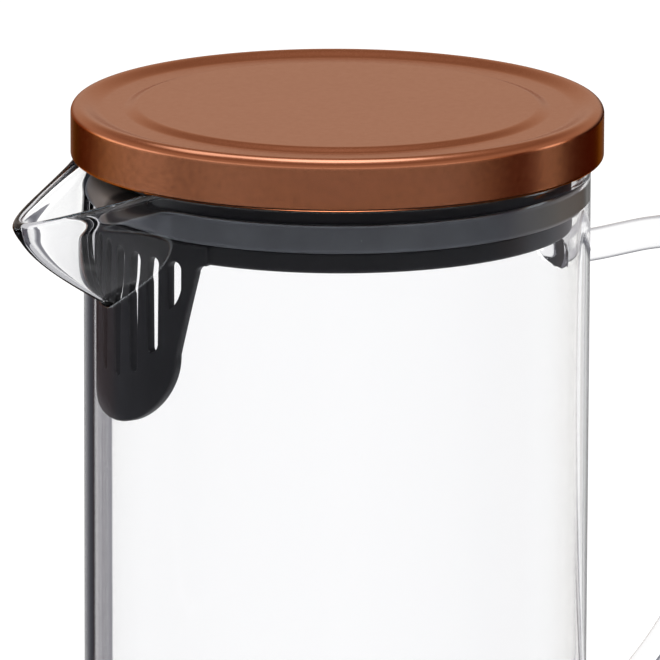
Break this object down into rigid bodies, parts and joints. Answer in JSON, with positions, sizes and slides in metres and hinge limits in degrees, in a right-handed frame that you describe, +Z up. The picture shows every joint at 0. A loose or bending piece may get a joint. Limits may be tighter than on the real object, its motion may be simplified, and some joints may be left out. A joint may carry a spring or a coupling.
{
  "type": "glass pitcher",
  "caption": "Tall clear glass pitcher with a pulled pouring lip, a fused glass rod handle and a lift-off copper-coloured lid that carries a seal and a slotted strainer.",
  "frame": {"origin": "centre of the flat underside, on the axis of the glass body", "axes": "+Z up along the body's axis, +X towards the handle, -X towards the pouring lip"},
  "size_m": [0.1684, 0.1072, 0.2144],
  "materials": {
    "clear_glass": "clear polished borosilicate glass",
    "copper_finish": "satin copper-coloured coating on pressed stainless steel",
    "black_plastic": "smooth moulded black plastic",
    "dark_silicone": "smooth moulded dark grey silicone"
  },
  "bodies": {
    "jug": {"glass_jug": "clear_glass", "glass_handle": "clear_glass"},
    "seal": {"seal_ring": "dark_silicone"},
    "lid": {"lid_cap": "copper_finish", "lid_plug": "black_plastic", "strainer": "black_plastic"}
  },
  "joints": [
    {"name": "lid_lift", "type": "slide", "parent": "jug", "child": "seal", "axis": [0, 0, 1], "range_m": [0, 0.075]},
    {"name": "lid_turn", "type": "hinge", "parent": "seal", "child": "lid", "pos_m": [0, 0, 0.2038], "axis": [0, 0, 1], "continuous": true}
  ]
}
